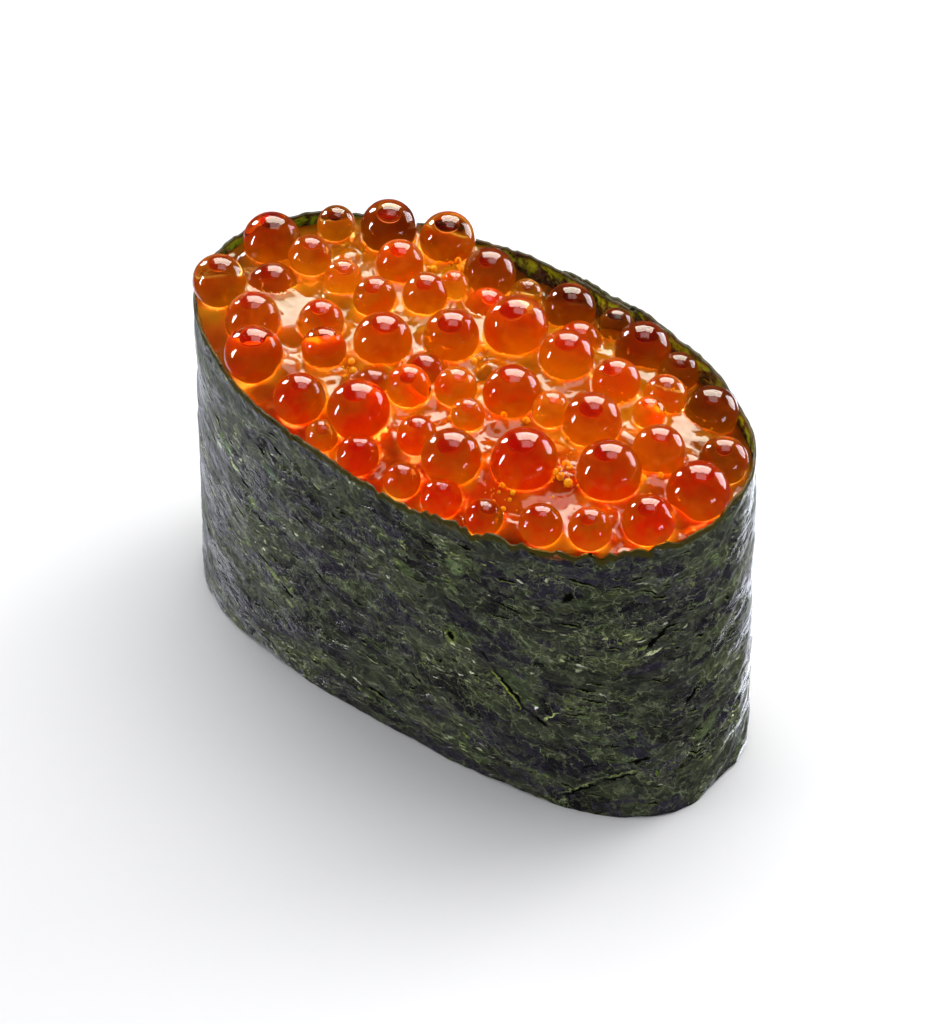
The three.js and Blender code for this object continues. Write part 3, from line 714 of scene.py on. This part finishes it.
def nori_sheet():
    """One strip of sheet wound once round and a little further. Each cross-section is a closed ring:
    up the outer face and down the inner one; rings follow each other along the strip."""
    turns = np.linspace(LAP_START, 1 + LAP_START + LAP_TURNS, SHEET_COLUMNS)[:, None]
    outer_shares = np.linspace(0, 1, SHEET_ROWS)[None, :]
    inner_shares = (1 - np.linspace(0, 1, INNER_ROWS) ** 2)[None, :]

    def face(shares, inset):
        turn, share = np.broadcast_arrays(turns, shares)
        flat = band_point(turn, share, inset - lap_lift(turn) - sheet_relief(turn, share))
        x, y = flat[..., 0], flat[..., 1]
        top = rim_height(x, y) + torn_rim(turn)
        z = lerp(torn_foot(turn), top, share)
        return np.stack([x, y, z], axis=-1), np.stack([turn * BAND_ROUND, z, top - z], axis=-1)

    outer, outer_mm = face(outer_shares, 0.0)
    inner, inner_mm = face(inner_shares, SHEET)
    ring = np.concatenate([outer, inner], axis=1)
    ring_mm = np.concatenate([outer_mm, inner_mm], axis=1)
    count = ring.shape[1]
    is_inner = np.zeros((SHEET_COLUMNS, count))
    is_inner[:, SHEET_ROWS:] = 1
    faces = grid_faces(SHEET_COLUMNS, count, close_columns=True)[:, ::-1].tolist()
    first_end = list(range(count))
    last_end = [(SHEET_COLUMNS - 1) * count + k for k in reversed(range(count))]
    piece = make_piece("nori_sheet", ring.reshape(-1, 3), faces + [first_end, last_end], roasted_nori(),
                       {"sheet_mm": ring_mm.reshape(-1, 3), "inner_face": is_inner.ravel()})
    finish_piece(piece, "seaweed_band")


# ---- where the eggs lie


CREST_FALL = 1.7
TROUGH = 1.1
PILE, PILE_HEIGHT = (-14.5, 9.0, 6, 4.5), 1.3        # middle and reaches of a hill, and its height
PERCH, PERCH_HEIGHT = (-21.7, -5.9, 3, 2.5), 1.7


def crest(x, y):
    """Height of the egg centres: level, less the fall times the sixth power of the share of the way
    out, piled up at the back of the -X end, with one egg perched on the rim there, a trough along the
    rest of the back and a step of 1 mm down along the front."""
    u = np.abs(x / RIM["half_length"]) ** RIM["squareness"]
    v = np.abs(y / RIM["half_width"]) ** RIM["squareness"]
    fall = CREST_FALL * (u + v) ** (6 / RIM["squareness"])
    pile = PILE_HEIGHT * hill(x, y, *PILE)
    perch = PERCH_HEIGHT * hill(x, y, *PERCH)
    trough = TROUGH * smoothstep(y, 5.5, 11.5) * smoothstep(x, -9, -4)
    return CREST - fall + pile + perch - trough - smoothstep(-y, 9.5, 12.0)


def spread(n, base):
    """The n-th member of a spread-out sequence between 0 and 1: the digits of n, mirrored."""
    value, share = 0.0, 1 / base
    while n > 0:
        value += share * (n % base)
        n //= base
        share /= base
    return value


def spread_place(n, base_along, base_across):
    """The n-th place, spread out over the box round the rim's outline."""
    x = (2 * spread(n, base_along) - 1) * RIM["half_length"]
    return x, (2 * spread(n, base_across) - 1) * RIM["half_width"]


def egg_places():
    """Centres and diameters: the top layer, then small eggs wherever a spread-out place has room."""
    top = [(x, y, float(crest(x, y)), size) for row in EGG_ROWS for x, y, size in row]
    eggs = list(top)
    for n in range(1, SMALL_EGGS_TRIED + 1):
        x, y = spread_place(n, 2, 3)
        size = lerp(SMALL_EGG_MIN, SMALL_EGG_MAX, spread(n, 5))
        z = float(crest(x, y)) - SMALL_EGG_SINK
        room = [SMALL_EGG_CROWDING * 0.5 * (egg[3] + size) for egg in eggs]
        clear = all(math.dist((x, y, z), egg[:3]) > gap for egg, gap in zip(eggs, room))
        if clear and wall_gap(x, y) > 0.5 * size + SMALL_EGG_WALL:
            eggs.append((x, y, z, size))
    return np.array(eggs), len(top)


EGGS, TOP_COUNT = egg_places()
CENTRES = EGGS[:, :3]
RADII = EGGS[:, 3] / 2


def sunk_places():
    """Eggs that lie wholly under the brine and lift it in mounds: centres and radii."""
    sunk = []
    for n in range(1, SUNK_EGGS_TRIED + 1):
        x, y = spread_place(n, 3, 2)
        radius = lerp(*SUNK_RADII, spread(n, 7))
        z = float(crest(x, y)) - BRINE_DROP + lerp(*SUNK_RISES, spread(n, 5)) - radius
        far = np.linalg.norm(CENTRES - (x, y, z), axis=1) > SUNK_CROWDING[0] * (RADII + radius)
        apart = all(math.dist((x, y), egg[:2]) > SUNK_CROWDING[1] * (egg[3] + radius) for egg in sunk)
        restless = all(hill(x, y, *pool) < 0.5 for pool in CALM_POOLS)
        if far.all() and apart and restless and wall_gap(x, y) > 0.7 * radius + 0.3:
            sunk.append((x, y, z, radius))
    return np.array(sunk)


SUNK = sunk_places()


def soft_egg(index, unit, stretch):
    """One egg from unit ball points: stretched a little, pressed flat by a soft minimum where it meets
    each neighbour's plane, and held inside the band below the rim."""
    SOFT = 0.05
    HALF_GAP = 0.02
    centre, radius = CENTRES[index], RADII[index]
    points = centre + unit * stretch * radius
    for other in range(len(EGGS)):
        away = CENTRES[other] - centre
        distance = np.linalg.norm(away)
        if other == index or distance >= radius + RADII[other]:
            continue
        way = away / distance
        plane = (distance ** 2 + radius ** 2 - RADII[other] ** 2) / (2 * distance) - HALF_GAP
        reach = (points - centre) @ way
        pressed = reach - SOFT * np.logaddexp(0, (reach - plane) / SOFT)
        points = points + (pressed - reach)[:, None] * way
    level = plan_level(RIM, points[:, 0], points[:, 1])
    above = smoothstep(points[:, 2] - rim_height(points[:, 0], points[:, 1]), -0.1, 0.9)
    limit = lerp(1 - EGG_WALL / RIM["half_width"], 1.2, above)
    points[:, :2] *= np.minimum(1, limit / np.maximum(level, 1e-6))[:, None]
    return points


def roe_eggs():
    """The eggs as closed balls, the small ones of the layer below in a piece of their own."""
    unit, quads, fans = ball_grid(*EGG_BALL)
    random = np.random.default_rng(EGG_SEED)
    stretches = 1 + 0.05 * (random.random((len(EGGS), 3)) - 0.5)
    glass = roe_glass("roe_membrane", "#f6b648", 4.5, 1.37, "#fff0d8")
    for name, members in (("roe_eggs", range(TOP_COUNT)), ("roe_eggs_below", range(TOP_COUNT, len(EGGS)))):
        clouds = np.stack([soft_egg(i, unit, stretches[i]) for i in members])
        points, faces = repeat_shape(clouds, quads, fans)
        finish_piece(make_piece(name, points, faces, glass), "roe_heap")


def oil_eyes():
    """The drop of oil that floats under the top of each egg: a flattened ball bent down at its edge to
    follow the skin, z = 0.70 of the egg's radius and 0.13 of it times the unit ball's z, less 0.08 of
    it times the squared distance out. Its oil bends light like the roe round it, and only colours it."""
    unit, quads, fans = ball_grid(*OIL_BALL)
    random = np.random.default_rng(OIL_SEED)
    out = unit[:, 0] ** 2 + unit[:, 1] ** 2
    clouds = []
    for centre, radius in zip(CENTRES, RADII):
        width = radius * (0.30 + 0.12 * random.random())
        shift = radius * 0.30 * (random.random(2) - 0.5)
        x = unit[:, 0] * width + shift[0]
        y = unit[:, 1] * width * (0.9 + 0.2 * random.random()) + shift[1]
        z = radius * (0.70 + 0.13 * unit[:, 2] - 0.08 * out)
        clouds.append(centre + np.stack([x, y, z], axis=-1))
    points, faces = repeat_shape(np.stack(clouds), quads, fans)
    oil = roe_glass("salmon_oil", "#e0380c", 1.1, 1.07, "#ffa070")
    finish_piece(make_piece("oil_eyes", points, faces, oil), "roe_heap")


# ---- brine

BRINE_COLUMNS = 350
BRINE_ROWS = 186
BRINE_END = 0.995            # s of the outermost columns, just short of the band's ends
# Ripples of the brine: (reach along, reach across, height, seed).
BRINE_RIPPLES = ((4.2, 4.2, 0.55, 31), (1.7, 1.7, 0.3, 37), (0.8, 0.8, 0.12, 39))
MENISCUS_RISE = 0.7
MENISCUS_REACH = 0.45
MENISCUS_FULL = 1.3          # rises that meet add up to no more than this many times the rise
FILM = 0.05                  # brine over a sunk egg
DRAPE = 0.09                 # how softly the brine runs down from a sunk egg
SNUG = 0.985                 # the brine's bowl under an egg, against the egg's radius
FAR = 99.0
SKIRT_INSET = 0.75
BRINE_FLOOR = RICE_TOP + 0.3


def brine_place(s, t, inset, share=1.0):
    """A point inside the rim: along = sin(s·90°) of the half length, across = t of the outline there,
    so s and t from -1 to 1 fill the outline."""
    plan = {key: lerp(FOOT[key], RIM[key], share) for key in RIM}
    u = np.sin(s * math.pi / 2)
    x = (plan["half_length"] - inset) * u
    edge = (1 - np.abs(u) ** plan["squareness"]) ** (1 / plan["squareness"])
    y = t * edge * (plan["half_width"] - inset) * (1 + plan["taper"] * u)
    return x + plan["skew"] * y + plan["x"], y + plan["y"]


def waist(centre, radius):
    """Radius of the ring where the brine meets an egg: sqrt(r² - drop²), its drop below the centre."""
    drop = centre[2] - (crest(centre[0], centre[1]) - BRINE_DROP)
    return math.sqrt(max(radius ** 2 - min(abs(drop), 0.9 * radius) ** 2, 0.05))


def brine_level(x, y):
    """Height of the brine without its bowls, and how far each place is from an egg: the crest less the
    drop, ripples outside the calm pools, domes over the sunk eggs joined on by a soft maximum, and a
    rise at every egg and at the wall that dies away over the reach."""
    calm = sum(hill(x, y, *pool) for pool in CALM_POOLS)
    ripples = sum(bumps(x, y, *ripple) for ripple in BRINE_RIPPLES)
    level = crest(x, y) - BRINE_DROP + (1 - np.minimum(calm, 1)) * ripples + 0.25 * calm
    climb = np.zeros_like(x)
    near = np.full_like(x, FAR)
    for centre, radius in zip(CENTRES, RADII):
        away = np.hypot(x - centre[0], y - centre[1]) - waist(centre, radius)
        climb += np.exp(-np.maximum(away, 0) / MENISCUS_REACH)
        near = np.minimum(near, away)
    for sunk_x, sunk_y, sunk_z, radius in SUNK:
        out = (x - sunk_x) ** 2 + (y - sunk_y) ** 2
        dome = sunk_z + FILM + np.sqrt(np.maximum(radius ** 2 - out, 0))
        dome = dome - 5 * np.maximum(np.sqrt(out) - radius, 0)
        level = np.logaddexp(level / DRAPE, dome / DRAPE) * DRAPE
    climb += 0.8 * np.exp(-np.maximum(wall_gap(x, y) - 0.3, 0) / MENISCUS_REACH)
    return level + MENISCUS_FULL * MENISCUS_RISE * (1 - np.exp(-climb / MENISCUS_FULL)), near


def brine_tones(x, y, near):
    """What colours the brine and the eggs over it. foot_glow: a golden glow painted at the feet of some
    eggs. warmth: from golden at the back to red at the front and the +X end. painted_shade: painted shade
    beside the far wall and the -X end, and under the two shaded eggs, which are also made less warm."""
    # foot_glow: painted light, golden at the feet of some eggs.
    foot_glow = 0.8 * np.exp(-np.maximum(near, 0) / 0.5) * smoothstep(mottle(x / 1.7, y / 1.7, 33), 0.4, 0.8)
    # The two shaded eggs get painted shade and a less warm tone.
    shaded = np.minimum(1, sum(hill(x, y, *egg) for egg in SHADED_EGGS))
    warmth = 0.28 + 0.45 * smoothstep(0.35 * x - y, -6, 14) + bumps(x, y, 3, 3, 0.1, 35) - 0.3 * shaded
    # Painted shade: darker next to the far wall and the -X end, and under the two shaded eggs.
    far_side = np.maximum(smoothstep(y, 0, 5), 0.7 * smoothstep(-x, 17, 22))
    shade = (0.3 + 0.5 * mottle(x / 3.1, y / 3.1, 41)) * (1 - smoothstep(wall_gap(x, y), 1.5, 5.0))
    return {"foot_glow": foot_glow, "warmth": warmth, "painted_shade": np.maximum(shade * far_side, 0.4 * shaded)}


def brine_bed():
    """A closed body: the brine's top with a bowl under each egg, a skirt down inside the band, and a
    flat bottom on the rice."""
    s = np.linspace(-BRINE_END, BRINE_END, BRINE_COLUMNS)[None, :]
    t = np.linspace(-1, 1, BRINE_ROWS)[:, None]
    s, t = np.broadcast_arrays(s, t)
    x, y = brine_place(s, t, SHEET + 0.02)
    level, near = brine_level(x, y)
    bowls = np.full_like(x, FAR)
    for centre, radius in zip(CENTRES, RADII):
        out = (x - centre[0]) ** 2 + (y - centre[1]) ** 2
        deep = (SNUG * radius) ** 2 - out
        bowls = np.where(deep > 0, np.minimum(bowls, centre[2] - np.sqrt(np.maximum(deep, 0))), bowls)
    top = np.stack([x, y, np.minimum(level, bowls)], axis=-1).reshape(-1, 3)

    numbers = np.arange(BRINE_ROWS * BRINE_COLUMNS).reshape(BRINE_ROWS, BRINE_COLUMNS)
    edge = np.concatenate([numbers[0, :-1], numbers[:-1, -1], numbers[-1, :0:-1], numbers[:0:-1, 0]])
    foot_x, foot_y = brine_place(s.ravel()[edge], t.ravel()[edge], SKIRT_INSET, BRINE_FLOOR / BAND_HEIGHT)
    foot = np.stack([foot_x, foot_y, np.full(len(edge), BRINE_FLOOR)], axis=-1)
    foot_ring = len(top) + np.arange(len(edge))
    skirt = np.stack([foot_ring, np.roll(foot_ring, -1), np.roll(edge, -1), edge], axis=-1)
    bottom = fan(len(top) + len(edge), foot_ring, faces_down=True)
    points = np.vstack([top, foot, [[0, 0, BRINE_FLOOR]]])
    faces = grid_faces(BRINE_ROWS, BRINE_COLUMNS).tolist() + skirt.tolist() + bottom.tolist()

    tones = {"bowl": smoothstep(level - bowls, -0.05, 0.15), **brine_tones(x, y, near)}
    hidden = np.zeros(len(edge) + 1)
    attributes = {label: np.append(tone, hidden) for label, tone in tones.items()}
    attributes["warmth"][len(top):] = 0.5
    piece = make_piece("brine_bed", points, faces, salmon_brine(), attributes)
    finish_piece(piece, "roe_heap")


# ---- bubbles

# Froth lies in clusters at the feet of some eggs: (along X, across Y, reach, how many).
FROTH = (
    (-15.6, 6.3, 1.0, 16), (-8.3, 9.4, 1.2, 18), (-0.2, 2.2, 1.4, 26), (11.1, -9.4, 2.0, 46),
    (14.3, -5.2, 1.5, 44), (4.6, 5.6, 1.2, 14), (-15.9, 4.0, 1.6, 14), (-13.9, 8.1, 1.2, 12),
    (-7.4, -6.2, 1.4, 16), (13.3, -2.1, 1.4, 14), (2.4, -7.5, 2.2, 18), (-3.0, -7.5, 1.8, 16),
    (8.5, -3.0, 2.4, 20), (19.5, -1.0, 2.2, 18), (-19.5, -2.5, 2.4, 18), (-9.5, 7.2, 1.5, 12),
)
FOOT_BUBBLES = 9


def froth():
    """Bubbles half out of the brine and kept off the eggs: clusters scattered round their middles, and
    a string of tiny ones at each egg's foot, at random angles round it and random gaps from it."""
    unit, quads, fans = ball_grid(*BUBBLE_BALL)
    random = np.random.default_rng(BUBBLE_SEED)
    parts = []
    for x0, y0, reach, count in FROTH:
        places = np.array([x0, y0]) + reach * 0.5 * random.standard_normal((count, 2))
        size = 0.06 + 0.34 * random.random(count) ** 5
        parts.append(np.column_stack([places, size]))
    for centre, radius in zip(CENTRES, RADII):
        angle = TURN * random.random(FOOT_BUBBLES)
        out = waist(centre, radius) + 0.3 * random.random(FOOT_BUBBLES) ** 2
        size = 0.035 + 0.055 * random.random(FOOT_BUBBLES) ** 2
        x, y = centre[0] + out * np.cos(angle), centre[1] + out * np.sin(angle)
        parts.append(np.column_stack([x, y, size]))
    x, y, size = np.vstack(parts).T
    level, near = brine_level(x, y)
    keep = (near > -0.02) & (plan_level(RIM, x, y) < 0.94)
    middles = np.column_stack([x, y, level + 0.25 * size])[keep]
    clouds = middles[:, None, :] + unit[None] * size[keep][:, None, None]
    points, faces = repeat_shape(clouds, quads, fans)
    finish_piece(make_piece("froth", points, faces, brine_bubble()), "roe_heap")


# ---- rice

GRAIN_ROWS = range(-3, 4)
GRAIN_COLUMNS = range(-6, 7)
BLOCK_COLUMNS = 120
# The block's rings from below: (height, inset from the band).
BLOCK_RINGS = ((0.9, 1.2), (0.9, 0.7), (1.5, 0.55), (9.0, 0.5), (17.9, 0.5), (RICE_TOP, 1.0))


def make_random(seed):
    """The solid's own row of random numbers from 0 to 1: each state is the last times 16807, cut off
    at 2147483647."""
    state = seed
    while True:
        state = (state * 16807) % 2147483647
        yield state / 2147483647


def rice_grains():
    """The grains of the underside: long balls, pinched a little to one end, laid by the same rule as
    the solid's, flattened by the board and pressed in by the band."""
    middle_of_foot = np.array([FOOT["x"], FOOT["y"]])
    limit = 1 - GRAIN_WALL / FOOT["half_width"]
    unit, quads, fans = ball_grid(*GRAIN_BALL)
    random = make_random(GRAIN_SEED)
    length, width = GRAIN
    plain = unit * np.array([length / 2, width / 2, width / 2])
    plain[:, 1:] *= (1 - 0.12 * unit[:, 0])[:, None]
    clouds = []
    for row in GRAIN_ROWS:
        for column in GRAIN_COLUMNS:
            middle = row == 0 and column == 0
            jitter = 0 if middle else 0.28 * GRAIN_SPACING
            shift = 0.5 if row % 2 else 0
            x = (column + shift) * GRAIN_SPACING + jitter * (next(random) - 0.5)
            y = row * 0.78 * GRAIN_SPACING + jitter * (next(random) - 0.5)
            heading = 0 if middle else math.pi * next(random)
            lean = 0 if middle else 0.35 * (next(random) - 0.5)
            z = 0.5 * width - (0.45 if middle else 0.4 * next(random))
            u = abs(x - FOOT["x"]) / (FOOT["half_length"] - GRAIN_MARGIN)
            v = abs(y - FOOT["y"]) / (FOOT["half_width"] - GRAIN_MARGIN)
            if u ** FOOT["squareness"] + v ** FOOT["squareness"] >= 1:
                continue
            turned = Matrix.Rotation(heading, 3, "Z") @ Matrix.Rotation(lean, 3, "Y")
            grain = plain @ np.array(turned).T + np.array([x, y, z])
            grain[:, 2] = np.maximum(grain[:, 2], 0.0)
            level = plan_level(FOOT, grain[:, 0], grain[:, 1])
            pressed = np.minimum(1, limit / np.maximum(level, 1e-6))[:, None]
            grain[:, :2] = middle_of_foot + (grain[:, :2] - middle_of_foot) * pressed
            clouds.append(grain)
    return repeat_shape(np.stack(clouds), quads, fans)


def rice_core():
    """The pressed block: rings of the band's inner outline, set in at the top and bottom edges, and
    closed by a fan at each end."""
    turns = np.arange(BLOCK_COLUMNS) / BLOCK_COLUMNS
    rings = []
    for height, inset in BLOCK_RINGS:
        flat = band_point(turns, height / BAND_HEIGHT, SHEET + PUCKER + inset)
        rings.append(np.column_stack([flat, np.full(BLOCK_COLUMNS, height)]))
    points = np.vstack(rings + [[[FOOT["x"], FOOT["y"], BLOCK_RINGS[0][0]]], [[0, 0, RICE_TOP]]])
    lowest = np.arange(BLOCK_COLUMNS)
    highest = (len(rings) - 1) * BLOCK_COLUMNS + lowest
    quads = grid_faces(len(rings), BLOCK_COLUMNS, close_columns=True)
    bottom = fan(len(points) - 2, lowest, faces_down=True)
    top = fan(len(points) - 1, highest)
    return points, quads.tolist() + bottom.tolist() + top.tolist()


def rice():
    """The pressed block and the grains of its underside, in one material."""
    finish = steamed_rice()
    for name, (points, faces) in (("rice_core", rice_core()), ("rice_grains", rice_grains())):
        finish_piece(make_piece(name, points, faces, finish), "rice_block")


# ---- studio

FLOOR_HALF = 1500.0


def softbox(name, way, distance, size, radiance, colour="#ffffff", diffuse=True, glossy=True):
    """A flat lamp at way (right, away, up) from the sushi, facing it, with one side kept level. It
    sends out radiance times pi times its area in watts, to matt surfaces, to mirrors or to both."""
    towards = (RIGHT * way[0] + AWAY * way[1] + UP * way[2]).normalized()
    data = bpy.data.lights.new(name, "AREA")
    data.shape = "RECTANGLE"
    data.size, data.size_y = size[0] * MM, size[1] * MM
    data.energy = radiance * math.pi * data.size * data.size_y
    data.color = linear(colour)[:3]
    lamp = bpy.data.objects.new(name, data)
    side = RIGHT if abs(towards.dot(RIGHT)) < 0.9 else AWAY
    up = towards.cross(side).normalized()
    side = up.cross(towards)
    lamp.matrix_world = Matrix.Translation((Vector(AIM) + towards * distance) * MM) @ Matrix(
        (side, up, towards)).transposed().to_4x4()
    lamp.visible_camera = False
    lamp.visible_diffuse = diffuse
    lamp.visible_glossy = glossy
    bpy.context.collection.objects.link(lamp)


def studio():
    """A pale floor that no mirror sees, and lamps: some light only what is matt, some show only in what
    is wet or glossy, and two do both."""
    corners = [(sx * FLOOR_HALF, sy * FLOOR_HALF, 0) for sx, sy in ((-1, -1), (1, -1), (1, 1), (-1, 1))]
    floor = make_piece("studio_floor", corners, [[0, 1, 2, 3]], studio_paper())
    floor.visible_glossy = False
    softbox("right_low_card", (0.30, 0.66, -0.68), 600, (320, 340), 4.0, "#f0f4ff", diffuse=False)
    softbox("left_low_card", (-0.45, 0.57, -0.68), 600, (360, 340), 1.3, "#f0f2ff", diffuse=False)
    softbox("overhead_box", (0.1, 0.35, 1.0), 600, (700, 600), 2.6, glossy=False)
    softbox("back_sheet", (0.12, 0.72, 0.70), 600, (520, 400), 18.5, "#eef0da", diffuse=False)
    softbox("top_sheet", (0.16, 0.20, 1.0), 600, (320, 260), 5.0, "#fff4e8", diffuse=False)
    softbox("left_strip", (-1.0, -0.08, 0.16), 500, (60, 260), 60.0, diffuse=False)
    softbox("back_left_lamp", (-0.64, 0.71, 0.29), 500, (90, 150), 60.0, diffuse=False)
    softbox("right_back_sheet", (0.85, 0.5, 0.15), 500, (300, 300), 10.0)
    softbox("right_front_card", (0.77, -0.64, 0.05), 500, (150, 90), 12.0)
    softbox("left_card", (-1.0, -0.2, 0.06), 500, (200, 80), 22.0, glossy=False)
    # The room is dark to a mirror, so only the lamps show in the wet skins, and light to everything matt.
    world = bpy.data.worlds.new("studio_air")
    add = start_nodes(world)
    mirrored = add("LightPath", out="Is Glossy Ray")
    lit = add("MapRange", {0: mirrored, 3: 0.45, 4: 0.06})
    air = add("Background", ["#e8eaf0", lit])
    add("OutputWorld", [air])
    bpy.context.scene.world = world
    bpy.context.scene.view_settings.view_transform = "Standard"


# ---- the sushi

studio()
nori_sheet()
rice()
brine_bed()
roe_eggs()
oil_eyes()
froth()
